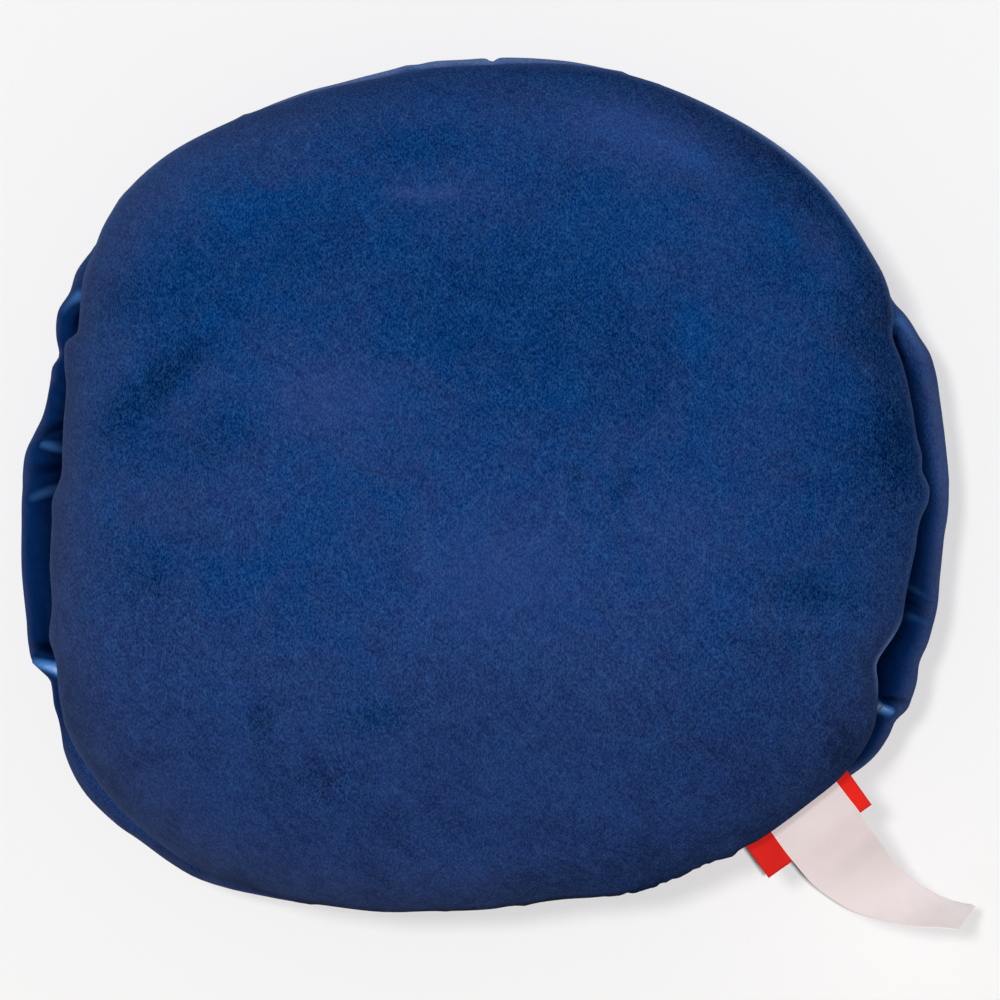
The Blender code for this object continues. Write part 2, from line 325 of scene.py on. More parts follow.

# How the pile's tone and its painted shade run down the cushion, a row per place: y, cooler, lighter
# (painted light, below 0 painted shade)
DOWN_TONES_AND_SHADE = (
    (-170.0, -1.00, -0.40),
    (-110.0, -0.78, -0.38),
    (-40.0, -0.15, -0.03),
    (30.0, 0.00, 0.00),
    (110.0, 0.10, 0.00),
    (170.0, -0.30, 0.04),
)

# How far past its widest line the back panel's painted grey sheen and its painted pale sheen and painted
# dark shade at the edge reach, in degrees, and how strongly that painted edge shade darkens
SHEEN_END = 42.0
EDGE_END = 12.0
EDGE_SHADE_STRENGTH = 2.0

# How much painted grey sheen and how much painted light the front panel's outer part has, and in radians
# how far under it goes on
FRONT_SHEEN = 0.9
FRONT_PAINTED_LIGHT = 0.8
FRONT_END = 0.6

# Labels, in millimetres, and how many steps find the place of a label's sewn-in end
RIBBON = 0.55
ROOT_BEHIND_EDGE = 2.0
ROOT_STEPS = 12
WOVEN_WIDTH = 50.6
WOVEN_MIDDLE = (133.8, -142.7)
WOVEN_ALONG = (0.8146, 0.5800)
WOVEN_LAYER_PITCH = 1.6
WOVEN_HEIGHT = 61.2
CARE_HEIGHT = 63.5

# Care label, a row per section: one long edge x, y and drop, then the other long edge x, y and drop
CARE_SECTIONS = (
    (114.2, -138.8, 0.0, 139.6, -118.0, 0.0),
    (119.0, -145.6, -0.2, 144.6, -124.6, -0.2),
    (123.6, -151.4, -0.1, 149.2, -130.5, -0.1),
    (130.3, -159.2, 1.0, 154.6, -138.4, 3.2),
    (137.3, -164.8, 3.0, 159.6, -145.5, 11.0),
    (145.9, -170.1, 4.8, 165.3, -153.2, 19.6),
    (154.0, -173.1, 6.2, 170.5, -157.9, 26.4),
    (163.0, -175.3, 7.4, 176.5, -162.3, 31.4),
    (172.0, -176.9, 8.4, 183.2, -165.9, 35.2),
    (180.4, -177.3, 9.2, 189.9, -168.4, 38.0),
    (188.9, -178.1, 9.8, 197.0, -169.7, 40.0),
)

# How finely the cover is made
COVER_CUTS = 63
RIM_SAMPLES = 1440

# How its cloth settles: frames, weight, stiffness, air pressure inside, and spare width as a share
SETTLE_FRAMES = 22
CLOTH_MASS = 0.15
CLOTH_STIFFNESS = 22.0
CLOTH_SHEAR = 8.0
CLOTH_BENDING = 0.1
AIR_PRESSURE = 4.0
SPARE_WIDTH = 0.35

# Where it is held while it settles, in shares of a panel: how far from the seam, how firmly at the crown,
# and from where on it rests; then the two sides with the most spare width, middle and half width in degrees
SEAM_HOLD = 0.012
CROWN_HOLD = 0.55
RESTING_FROM = 0.62
RIGHT_SIDE = (0.0, 34.0)
LEFT_SIDE = (182.0, 34.0)

# How much its wrinkles are deepened, to how many millimetres at most, and how widely bulges are taken out
SETTLE_GAIN = 1.8
SETTLE_CAP = 3.0
SETTLE_CALM_PASSES = 40

# Where the uneven puckers and lumps start from
SEED = 7

# Camera, in metres, and the height in millimetres at which the picture is true to size
VIEW_MIDDLE = (0.0058, -0.0062)
VIEW_WIDTH = 0.400
TRUE_SIZE_HEIGHT = 58.0
VIEW_LENS = 500.0
SENSOR = 36.0

# Colours of the velvet: warm and cool pile, the painted grey sheen of its edge, the painted shade of the
# front panel's sides, the painted pale sheen of the rim, the painted highlights of the folds and their
# brightest painted glints, the painted shade of the hollows, and what single fibres add or take away
NAVY_WARM = (0.0178, 0.0452, 0.1690, 1.0)
NAVY_COOL = (0.0006, 0.0335, 0.1430, 1.0)
PAINTED_EDGE_SHEEN = (0.0345, 0.0532, 0.1390, 1.0)
SHADED_SIDE_NAVY = (0.0012, 0.0165, 0.0800, 1.0)
PAINTED_RIM_SHEEN = (0.2600, 0.4200, 0.8600, 1.0)
PAINTED_FOLD_HIGHLIGHT = (0.0800, 0.2700, 0.7000, 1.0)
PAINTED_GLINT = (0.5500, 0.6800, 0.9000, 1.0)
PAINTED_HOLLOW_SHADE = (0.0000, 0.0012, 0.0090, 1.0)
PILE_FUZZ = (0.0132, 0.0330, 0.0720, 1.0)

# Lie of the velvet's brushed strokes and of the streaks in the painted glints: heading in degrees, lengths
# in millimetres; the same for single hairs; how fine its grain is; and the least light it falls to
BRUSH_STROKES = (-38.0, (16.0, 5.5, 8.0))
GLINT_STREAKS = (50.0, (5.0, 0.8, 3.0))
HAIR_HEADINGS = (35.0, -52.0, 80.0)
HAIR_LENGTHS = (9.0, 0.8, 3.0)
GRAIN_SCALE = (1620.0, 900.0, 1250.0)
LEAST_LIGHT = 0.15

# Colours of the ribbons; the red's left part is painted in shade and the care label's tip is painted
# lighter
RIBBON_RED = (0.8600, 0.0100, 0.0020, 1.0)
RIBBON_DEEP_RED = (0.4600, 0.0060, 0.0020, 1.0)
RIBBON_RED_IN_PAINTED_SHADE = (0.7400, 0.0070, 0.0020, 1.0)
SATIN_ROSE = (0.6350, 0.5300, 0.5250, 1.0)
SATIN_ROSE_PAINTED_LIGHT = (1.0000, 0.8800, 0.8800, 1.0)
SATIN_ROSE_SHADE = (0.8400, 0.7200, 0.7200, 1.0)

# Lights: where each shines from, strength, and how wide it is in degrees
OVERHEAD_FROM = (0.05, 0.05, 4.0)
OVERHEAD_ENERGY = 2.13
OVERHEAD_ANGLE = 1.6
KEY_FROM = (-0.68, 0.40, 4.0)
KEY_ENERGY = 0.80
KEY_ANGLE = 6.5

# The white surroundings and the floor
SURROUND_STRENGTH = 0.15
FLOOR_SIZE = 14.0
FLOOR_TONES = ((0.858, 0.851, 0.845, 1.0), (0.876, 0.869, 0.863, 1.0))


# Small helpers

def deselect():
    for obj in list(bpy.context.selected_objects):
        obj.select_set(False)


def make_active(obj):
    deselect()
    obj.select_set(True)
    bpy.context.view_layer.objects.active = obj


def apply_modifier(obj, modifier):
    make_active(obj)
    bpy.ops.object.modifier_apply(modifier=modifier.name)


def points_of(mesh):
    flat = np.empty(len(mesh.vertices) * 3)
    mesh.vertices.foreach_get("co", flat)
    return flat.reshape(-1, 3)


def set_points(mesh, points):
    mesh.vertices.foreach_set("co", np.asarray(points, dtype=np.float32).ravel())
    mesh.update()


def edges_of(mesh):
    flat = np.empty(len(mesh.edges) * 2, dtype=np.int64)
    mesh.edges.foreach_get("vertices", flat)
    return flat.reshape(-1, 2)


def store(mesh, name, values):
    attribute = mesh.attributes.get(name) or mesh.attributes.new(name, "FLOAT", "POINT")
    attribute.data.foreach_set("value", np.asarray(values, dtype=np.float32))


def read(mesh, name):
    values = np.empty(len(mesh.vertices), dtype=np.float32)
    mesh.attributes[name].data.foreach_get("value", values)
    return values.astype(float)


def averaged(values, edges, passes):
    """Values evened out over the mesh's neighbours."""
    count = np.bincount(edges.ravel(), minlength=len(values)).astype(float)
    shape = (-1,) + (1,) * (values.ndim - 1)
    for step in range(passes):
        total = np.zeros_like(values)
        np.add.at(total, edges[:, 0], values[edges[:, 1]])
        np.add.at(total, edges[:, 1], values[edges[:, 0]])
        values = 0.5 * values + 0.5 * total / count.reshape(shape)
    return values


def eased(values):
    values = np.clip(values, 0.0, 1.0)
    return values * values * (3.0 - 2.0 * values)


def faded(values):
    return 1.0 - eased(values)


def degrees_off(degrees, middle):
    return (degrees - middle + 180.0) % 360.0 - 180.0


def bell(degrees, middle, spread):
    away = degrees_off(degrees, middle) / spread
    return np.exp(-away * away)


# The cover's shape

def rim_samples():
    """Back radius, seam depth and front radius every quarter of a degree, on a smooth closed curve."""
    rows = np.array(RIM)
    angles = np.arange(RIM_SAMPLES) * 360.0 / RIM_SAMPLES
    row = np.searchsorted(rows[:, 0], angles, side="right") - 1
    picks = [rows[(row + step) % len(rows)] for step in (-1, 0, 1, 2)]
    spans = [(picks[i + 1][:, 0] - picks[i][:, 0]) % 360.0 for i in range(3)]
    part = ((angles - picks[1][:, 0]) % 360.0) / spans[1]
    square = part * part
    cube = square * part
    columns = []
    for column in (1, 2, 3):
        before, start, end, after = [pick[:, column] for pick in picks]
        rise = (end - start) / spans[1]
        leave = 0.5 * ((start - before) / spans[0] + rise) * spans[1]
        arrive = 0.5 * (rise + (after - end) / spans[2]) * spans[1]
        value = (2 * cube - 3 * square + 1) * start + (cube - 2 * square + part) * leave
        value += (3 * square - 2 * cube) * end + (cube - square) * arrive
        columns.append(value)
    return np.array(columns)


def calm_samples(samples):
    """The same outline with its short bends evened out, for the middle of a panel."""
    reach = int(CALM_WIDTH * RIM_SAMPLES / 360.0)
    weights = np.bartlett(2 * reach + 1)
    weights /= weights.sum()
    wide = np.concatenate([samples[:, -reach:], samples, samples[:, :reach]], axis=1)
    return np.array([np.convolve(line, weights, mode="valid") for line in wide])


SAMPLES = rim_samples()
CALM = calm_samples(SAMPLES)


def around(samples, degrees):
    place = (degrees % 360.0) * RIM_SAMPLES / 360.0
    low = np.floor(place).astype(int)
    part = place - low
    return samples[:, low % RIM_SAMPLES] * (1 - part) + samples[:, (low + 1) % RIM_SAMPLES] * part


def side_folds(plan):
    """Rise of the front panel's folds at points in plan, in millimetres, and the painted highlight and
    painted shade laid along them.
    """
    rise = np.zeros(len(plan))
    shine = np.zeros(len(plan))
    for x_in, y_in, x_out, y_out, spread, height, fold_light in SIDE_FOLDS:
        start = np.array((x_in, y_in))
        run = np.array((x_out, y_out)) - start
        along = np.clip((plan - start) @ run / (run @ run), 0.0, 1.0)
        away = np.linalg.norm(plan - start - along[:, None] * run, axis=1) / spread
        fold = np.exp(-away * away)
        rise += height * fold
        shine += fold_light * fold * (1.0 - 0.5 * along)
    return rise, shine


def summed_bells(rows, degrees):
    total = np.zeros_like(degrees)
    for middle, spread, height in rows:
        total += height * bell(degrees, middle, spread)
    return total


def pucker_rows():
    """Uneven small gathers all round, a row per gather: angle, half its width, rise."""
    chance = np.random.default_rng(SEED)
    pitch = 360.0 / PUCKERS
    rows = []
    for step in range(PUCKERS):
        angle = (step + chance.uniform(-0.3, 0.3)) * pitch
        spread = PUCKER_SPREAD * chance.uniform(0.7, 1.4)
        height = PUCKER_RISE * chance.uniform(-1.0, 0.8)
        rows.append((angle, spread, height))
    return rows


def lumps(plan):
    """Soft uneven swells of the filling."""
    chance = np.random.default_rng(SEED + 1)
    total = np.zeros(len(plan))
    for length in LUMP_LENGTHS:
        for turn in range(3):
            heading = chance.uniform(0.0, np.pi)
            phase = chance.uniform(0.0, 2.0 * np.pi)
            away = plan[:, 0] * math.cos(heading) + plan[:, 1] * math.sin(heading)
            wave = away * 2.0 * np.pi / length
            total += np.sin(wave + phase) * length / max(LUMP_LENGTHS)
    return total * LUMP_RISE / 2.0


def cover_points(degrees, panel):
    """Cover points in metres, the painted highlight and shade of the folds there, how far each point has
    come from the seam to the widest line, and how far it turns past that.

    Panel runs from -1, the middle of the front, past 0, the seam, to 1, the crown.
    """
    back, depth, front = around(SAMPLES, degrees)
    calm_back, _, calm_front = around(CALM, degrees)
    seam = np.minimum(back, front) - depth
    upper = panel > 0
    share = np.abs(panel)
    widest_height = np.where(upper, BACK_WIDEST_HEIGHT, FRONT_WIDEST_HEIGHT)
    side = np.where(upper, 1.0, -1.0)
    widest = np.where(upper, back, front)

    out = np.minimum(share / CREASE_SHARE, 1.0)
    dip = 0.5 * np.pi * (1.0 - out)
    crease_radius = seam + (widest - seam) * np.cos(dip)
    crease_height = widest_height + (SEAM_HEIGHT - widest_height) * np.sin(dip)

    turn = 0.5 * np.pi * np.clip((share - CREASE_SHARE) / (1.0 - CREASE_SHARE), 0.0, 1.0)
    calm = np.where(upper, calm_back, calm_front)
    full = widest + (calm - widest) * eased(turn / math.radians(CALM_END))
    fullness = np.where(upper, BACK_FULLNESS, FRONT_FULLNESS)
    panel_radius = full * np.maximum(0.0, np.cos(turn)) ** (2.0 / fullness)
    swell = np.sin(turn) ** (2.0 / CROWN_ROUNDNESS)
    crown = BACK_WIDEST_HEIGHT + (CROWN_HEIGHT - BACK_WIDEST_HEIGHT) * swell
    base = FRONT_WIDEST_HEIGHT - (FRONT_WIDEST_HEIGHT + FLATTENED_BY) * swell
    panel_height = np.where(upper, crown, np.maximum(0.0, base))

    creased = share < CREASE_SHARE
    radius = np.where(creased, crease_radius, panel_radius)
    height = np.where(creased, crease_height, panel_height)
    lean_out = np.where(creased, np.cos(dip), np.cos(turn))
    lean_up = np.where(creased, -side * np.sin(dip), side * np.sin(turn))

    angle = np.radians(degrees)
    heading = np.stack([np.cos(angle), np.sin(angle)], axis=1)
    fade = faded(turn / math.radians(FOLD_END))
    folds, shine = side_folds(heading * radius[:, None])
    visible = eased(out / 0.3) * faded((out - 0.62) / 0.38)
    hidden = np.where(upper, 1.0, 1.0 - summed_bells(SEEN_SIDES, degrees))
    below = UNDER_PUCKERS * np.sin(2.0 * turn) ** 2
    above = TOP_PUCKERS * np.sin(4.0 * np.minimum(turn, 0.25 * np.pi)) ** 2
    beside = hidden * np.sin(np.pi * out) * (1.0 - 0.5 * out)
    reach = np.where(creased, beside, np.where(upper, above, below))
    puckers = summed_bells(pucker_rows(), degrees) * reach
    pulls = np.where(upper, summed_bells(EDGE_PULLS, degrees), summed_bells(FRONT_PULLS, degrees))
    pulls = pulls * np.where(creased, eased(out), fade)
    rise = pulls + np.where(upper, 0.0, folds * visible) + puckers
    rise += lumps(heading * radius[:, None]) * np.where(creased, 0.0, 1.0 - fade)
    radius = radius + rise * lean_out
    height = np.where(height > 0.0, np.maximum(0.0, height + rise * lean_up), 0.0)
    points = np.concatenate([heading * radius[:, None], height[:, None]], axis=1) * MM
    return points, shine, out, turn


def tones(points, degrees, panel, shine, out, turn):
    """How the pile reads, with its painted light, shade and sheen, one value a point for each thing that
    the material asks for.
    """
    plan = points[:, :2] / MM
    upper = panel > 0
    down = np.array(DOWN_TONES_AND_SHADE)
    # Painted shade, darker towards the bottom, along with the pile's cooler and warmer tone
    cool = np.interp(plan[:, 1], down[:, 0], down[:, 1])
    light = np.interp(plan[:, 1], down[:, 0], down[:, 2])
    for x, y, long, wide, heading, cooler, lighter in BRUSHED:
        slope = math.radians(heading)
        away = plan - np.array((x, y))
        along = (away[:, 0] * math.cos(slope) + away[:, 1] * math.sin(slope)) / long
        across = (away[:, 1] * math.cos(slope) - away[:, 0] * math.sin(slope)) / wide
        mark = np.exp(-(along ** 2 + across ** 2) ** 1.2) * upper
        cool += cooler * mark
        light += lighter * mark
    rows = np.array(EDGE_PAINTED_LIGHT)
    grey_sheen, band_shading, rim_sheen_and_shade, front_rim_sheen, crease_shading = [
        np.interp(degrees, rows[:, 0], rows[:, column], period=360.0) for column in range(1, 6)
    ]
    # Painted grey sheen near the edge of the back panel and on the front panel's outer part
    near = faded(turn / math.radians(SHEEN_END))
    front_sheen = FRONT_SHEEN * eased((out - 0.35) / 0.4) * faded(turn / FRONT_END)
    edge = np.where(upper, grey_sheen * near, front_sheen)
    # Painted light and shade in a band inside the back panel's edge, and painted light on the front panel's
    # outer part
    front_band_light = FRONT_PAINTED_LIGHT * eased((out - 0.35) / 0.65) * faded(turn / FRONT_END)
    light += np.where(upper, band_shading * faded((turn - 0.3) / 0.34), front_band_light)
    # Painted pale sheen at the very edge of each panel, and below 0 painted dark shade
    outermost = faded(turn / math.radians(EDGE_END))
    rim_sheen_and_shade = np.where(upper, rim_sheen_and_shade * eased((out - 0.7) / 0.3), front_rim_sheen * eased((out - 0.3) / 0.35))
    rim_sheen_and_shade = rim_sheen_and_shade * outermost
    light += EDGE_SHADE_STRENGTH * np.minimum(rim_sheen_and_shade, 0.0)
    pale = np.maximum(rim_sheen_and_shade, 0.0)
    # Painted shade on the front panel's sides, full near the seam
    dark = np.zeros_like(degrees)
    for middle, spread, reach in SHADED_SIDES:
        stretch = faded((np.abs(degrees_off(degrees, middle)) - spread) / SIDE_SHADE_FADE)
        dark = np.maximum(dark, stretch * (1.0 - 0.9 * eased((out - reach) / 0.4)))
    dark = np.where(upper, 0.0, dark * faded(turn / 0.5))
    # Painted highlights and painted shade on the front panel's folds, only where the folds show
    window = np.where(upper, 0.0, (1.0 - 0.7 * eased((out - 0.75) / 0.25)) * faded(turn / 0.3))
    # Painted shade in the crease, darkest at the seam
    crease = np.where(out < 1.0, 1.0 - out, 0.0) * np.where(upper, 1.0, crease_shading)
    return {
        "cool": cool,
        "light": light,
        "edge": edge,
        "pale": pale,
        "dark": dark,
        "shine": shine * window,
        "crease": crease,
    }


def crowded(azimuth):
    """Angles on the cushion for even angles on a ball, closer where the cover needs more mesh."""
    angles = np.linspace(0.0, 360.0, RIM_SAMPLES + 1)
    density = 1.0 + summed_bells(FINER_SIDES, angles)
    total = np.concatenate([[0.0], np.cumsum(0.5 * (density[1:] + density[:-1]))])
    return np.interp(azimuth % 360.0, total * 360.0 / total[-1], angles)


def add_ball_of_squares(name):
    """A ball of even squares: a cube cut finely, its corners then drawn in to the ball."""
    deselect()
    bpy.ops.mesh.primitive_cube_add(size=2.0)
    ball = bpy.context.object
    ball.name = name
    ball.data.name = name
    bpy.ops.object.mode_set(mode="EDIT")
    bpy.ops.mesh.select_all(action="SELECT")
    bpy.ops.mesh.subdivide(number_cuts=COVER_CUTS)
    bpy.ops.object.mode_set(mode="OBJECT")
    points = np.tan(points_of(ball.data) * np.pi / 4.0)
    points /= np.linalg.norm(points, axis=1, keepdims=True)
    set_points(ball.data, points)
    return ball


def settle(cover, panel, degrees):
    """The cloth under light pressure: the front's extra width puckers against the held seam."""
    held = cover.vertex_groups.new(name="held")
    spare = cover.vertex_groups.new(name="spare")
    share = np.abs(panel)
    hold = np.clip(1.0 - share / SEAM_HOLD, 0.0, 1.0)
    hold = np.maximum(hold, CROWN_HOLD * eased((share - 0.42) / 0.3))
    hold = np.where(panel < -RESTING_FROM, 1.0, hold)
    sides = np.maximum(bell(degrees, *RIGHT_SIDE), bell(degrees, *LEFT_SIDE))
    extra = np.where(panel < 0, 0.35 + 0.65 * sides, 0.18 + 0.25 * sides)
    extra = extra * faded((share - 0.3) / 0.35)
    for index in range(len(panel)):
        held.add((index,), float(hold[index]), "REPLACE")
        spare.add((index,), float(extra[index]), "REPLACE")
    cloth = cover.modifiers.new("settled", "CLOTH")
    settings = cloth.settings
    settings.quality = 5
    settings.mass = CLOTH_MASS
    settings.tension_stiffness = CLOTH_STIFFNESS
    settings.compression_stiffness = CLOTH_STIFFNESS
    settings.shear_stiffness = CLOTH_SHEAR
    settings.bending_stiffness = CLOTH_BENDING
    settings.use_pressure = True
    settings.uniform_pressure_force = AIR_PRESSURE
    settings.effector_weights.gravity = 0.0
    settings.vertex_group_mass = held.name
    settings.vertex_group_shrink = spare.name
    settings.shrink_min = 0.0
    settings.shrink_max = -SPARE_WIDTH
    cloth.point_cache.frame_start = 1
    cloth.point_cache.frame_end = SETTLE_FRAMES
    for step in range(1, SETTLE_FRAMES + 1):
        bpy.context.scene.frame_set(step)
    apply_modifier(cover, cloth)
    cover.vertex_groups.clear()


def spread_on_ball(ball):
    """Panel and angle of points on the ball."""
    ball = ball / np.linalg.norm(ball, axis=1, keepdims=True)
    panel = np.arcsin(np.clip(ball[:, 2], -1.0, 1.0)) * 2.0 / np.pi
    panel = np.where(np.abs(panel) < 1e-4, 0.0, panel)
    return panel, crowded(np.degrees(np.arctan2(ball[:, 1], ball[:, 0])))


def settled_wrinkles(cover, panel, degrees, plain):
    """How far the settling moves the cloth: no wide bulges, its wrinkles deepened and capped."""
    settle(cover, panel, degrees)
    moved = points_of(cover.data) - plain
    moved -= averaged(moved, edges_of(cover.data), SETTLE_CALM_PASSES)
    moved *= SETTLE_GAIN
    length = np.linalg.norm(moved, axis=1, keepdims=True) + 1e-9
    cap = SETTLE_CAP * MM
    moved *= np.tanh(length / cap) * cap / length
    keep_rim = 1.0 - 0.8 * np.exp(-((np.abs(panel) - CREASE_SHARE) / 0.06) ** 2)
    return moved * keep_rim[:, None]


def sewn_shut(points, degrees, panel):
    """Small uneven gathers in the lower edge, as how far in each point is drawn."""
    stretch = eased((degrees - SHUT_FROM) / SHUT_FADE) * eased((SHUT_TO - degrees) / SHUT_FADE)
    wave = 0.5 - 0.5 * np.cos(2.0 * np.pi * degrees / SHUT_PITCH)
    wave *= 0.65 + 0.35 * np.sin(2.0 * np.pi * degrees / (SHUT_BEAT * SHUT_PITCH))
    near = np.clip(1.0 - np.abs(panel - CREASE_SHARE) / 0.2, 0.0, 1.0)
    pull = SHUT_DEPTH * MM * stretch * wave * eased(near)
    direction = points * np.array((1.0, 1.0, 0.0))
    direction /= np.linalg.norm(direction, axis=1, keepdims=True) + 1e-9
    return direction * pull[:, None]


def make_cover():
    """The cover, settled on its mesh, then shaped again on one twice as fine with the wrinkles added."""
    cover = add_ball_of_squares("velvet_cushion")
    ball = points_of(cover.data)
    panel, degrees = spread_on_ball(ball)
    plain = cover_points(degrees, panel)[0]
    set_points(cover.data, plain)
    moved = np.zeros_like(plain)
    moved = settled_wrinkles(cover, panel, degrees, plain)
    for axis in range(3):
        store(cover.data, f"ball_{axis}", ball[:, axis])
        store(cover.data, f"moved_{axis}", moved[:, axis])
    finer = cover.modifiers.new("finer", "SUBSURF")
    finer.levels = 1
    finer.render_levels = 1
    apply_modifier(cover, finer)
    mesh = cover.data
    ball = np.stack([read(mesh, f"ball_{axis}") for axis in range(3)], axis=1)
    moved = np.stack([read(mesh, f"moved_{axis}") for axis in range(3)], axis=1)
    for axis in range(3):
        mesh.attributes.remove(mesh.attributes[f"ball_{axis}"])
        mesh.attributes.remove(mesh.attributes[f"moved_{axis}"])
    panel, degrees = spread_on_ball(ball)
    plain, shine, out, turn = cover_points(degrees, panel)
    shaped = plain + moved
    shaped[:, 2] = np.where(plain[:, 2] <= 1e-6, 0.0, np.maximum(shaped[:, 2], 0.0))
    set_points(mesh, shaped - sewn_shut(shaped, degrees, panel))
    for name, values in tones(plain, degrees, panel, shine, out, turn).items():
        store(mesh, name, values)
    mesh.shade_smooth()
    return cover


# Labels

def root_point(start, outward):
    """Where a label's cloth ends in the crease, going inwards from a point outside the rim."""
    point = np.array(start, dtype=float)
    for step in range(ROOT_STEPS):
        angle = math.degrees(math.atan2(point[1], point[0]))
        back, depth, front = around(SAMPLES, np.array([angle]))[:, 0]
        point = point - outward * (np.linalg.norm(point) - min(back, front) + ROOT_BEHIND_EDGE)
    return point


def woven_place(across, along):
    """Ribbon folded double: out along the lower layer, round the fold and back along the upper one."""
    side = np.array(WOVEN_ALONG)
    outward = np.array((side[1], -side[0]))
    fold = 0.5 * WOVEN_LAYER_PITCH
    edge = np.array(WOVEN_MIDDLE) + side * WOVEN_WIDTH * (across - 0.5) - outward * (fold + 0.5 * RIBBON)
    root = root_point(edge, outward)
    layer = 0.4
    if along <= layer:
        spot = root + (edge - root) * along / layer
        height = WOVEN_HEIGHT - fold
    elif along < 1.0 - layer:
        turn = math.pi * (along - layer) / (1.0 - 2.0 * layer)
        spot = edge + outward * fold * math.sin(turn)
        height = WOVEN_HEIGHT - fold * math.cos(turn)
    else:
        spot = root + (edge - root) * (1.0 - along) / layer
        height = WOVEN_HEIGHT + fold
    return Vector((spot[0], spot[1], height)) * MM


def care_place(across, along):
    place = along * (len(CARE_SECTIONS) - 1)
    row = min(len(CARE_SECTIONS) - 2, int(place))
    part = place - row
    picks = [CARE_SECTIONS[min(len(CARE_SECTIONS) - 1, max(0, row + step))] for step in (-1, 0, 1, 2)]
    before, start, end, after = [np.array(pick) for pick in picks]
    values = start + 0.5 * part * (end - before)
    values = values + 0.5 * part ** 2 * (2 * before - 5 * start + 4 * end - after)
    values = values + 0.5 * part ** 3 * (3 * start - before - 3 * end + after)
    spot = values[0:3] * (1 - across) + values[3:6] * across
    if along == 0.0:
        side = values[3:5] - values[0:2]
        side /= np.linalg.norm(side)
        spot[0:2] = root_point(spot[0:2], np.array((side[1], -side[0])))
    return Vector((spot[0], spot[1], CARE_HEIGHT - spot[2])) * MM


def make_ribbon(name, columns, rows, place):
    deselect()
    bpy.ops.mesh.primitive_grid_add(x_subdivisions=columns, y_subdivisions=rows, size=1.0)
    ribbon = bpy.context.object
    ribbon.name = name
    ribbon.data.name = name
    for vert in ribbon.data.vertices:
        vert.co = place(round(vert.co.x + 0.5, 6), round(vert.co.y + 0.5, 6))
    ribbon.data.update()
    thick = ribbon.modifiers.new("thick", "SOLIDIFY")
    thick.thickness = RIBBON * MM
    thick.offset = 0.0
    thick.use_even_offset = True
    apply_modifier(ribbon, thick)
    ribbon.data.shade_smooth()
    ribbon.data.set_sharp_from_angle(angle=math.radians(50.0))
    return ribbon


# Materials

def new_material(name):
    material = bpy.data.materials.new(name)
    material.use_nodes = True
    nodes = material.node_tree.nodes
    return material, nodes, material.node_tree.links, nodes["Principled BSDF"]


def add_noise(nodes, links, vector, scale, detail, roughness=0.5, distortion=0.0):
    noise = nodes.new("ShaderNodeTexNoise")
    noise.inputs["Scale"].default_value = scale
    noise.inputs["Detail"].default_value = detail
    noise.inputs["Roughness"].default_value = roughness
    noise.inputs["Distortion"].default_value = distortion
    links.new(vector, noise.inputs["Vector"])
    return noise.outputs["Fac"]


def add_range(nodes, links, value, low, high, to_low=0.0, to_high=1.0):
    spread = nodes.new("ShaderNodeMapRange")
    spread.interpolation_type = "SMOOTHSTEP"
    spread.inputs["From Min"].default_value = low
    spread.inputs["From Max"].default_value = high
    spread.inputs["To Min"].default_value = to_low
    spread.inputs["To Max"].default_value = to_high
    links.new(value, spread.inputs["Value"])
    return spread.outputs["Result"]


def add_mix(nodes, links, factor, first, second, blend="MIX"):
    mix = nodes.new("ShaderNodeMix")
    mix.data_type = "RGBA"
    mix.blend_type = blend
    mix.clamp_result = True
    for socket, value in ((mix.inputs[0], factor), (mix.inputs[6], first), (mix.inputs[7], second)):
        if isinstance(value, (int, float, tuple)):
            socket.default_value = value
        else:
            links.new(value, socket)
    return mix.outputs[2]


def add_math(nodes, links, operation, first, second=0.0):
    maths = nodes.new("ShaderNodeMath")
    maths.operation = operation
    for socket, value in zip(maths.inputs, (first, second)):
        if isinstance(value, (int, float)):
            socket.default_value = value
        else:
            links.new(value, socket)
    return maths.outputs[0]


def times(nodes, links, first, second):
    return add_math(nodes, links, "MULTIPLY", first, second)


def plus(nodes, links, first, second):
    return add_math(nodes, links, "ADD", first, second)


def add_attribute(nodes, name):
    attribute = nodes.new("ShaderNodeAttribute")
    attribute.attribute_name = name
    return attribute.outputs["Fac"]


def grey_of(nodes, links, value):
    tone = nodes.new("ShaderNodeCombineColor")
    for socket in tone.inputs:
        links.new(value, socket)
    return tone.outputs["Color"]


def laid_strokes(nodes, links, vector, heading, lengths):
    """Places stretched so that a pattern lies in strokes along a heading, its lengths in millimetres."""
    lay = nodes.new("ShaderNodeMapping")
    lay.vector_type = "TEXTURE"
    lay.inputs["Rotation"].default_value = (0.0, 0.0, math.radians(heading))
    lay.inputs["Scale"].default_value = [length * MM for length in lengths]
    links.new(vector, lay.inputs["Vector"])
    return lay.outputs["Vector"]


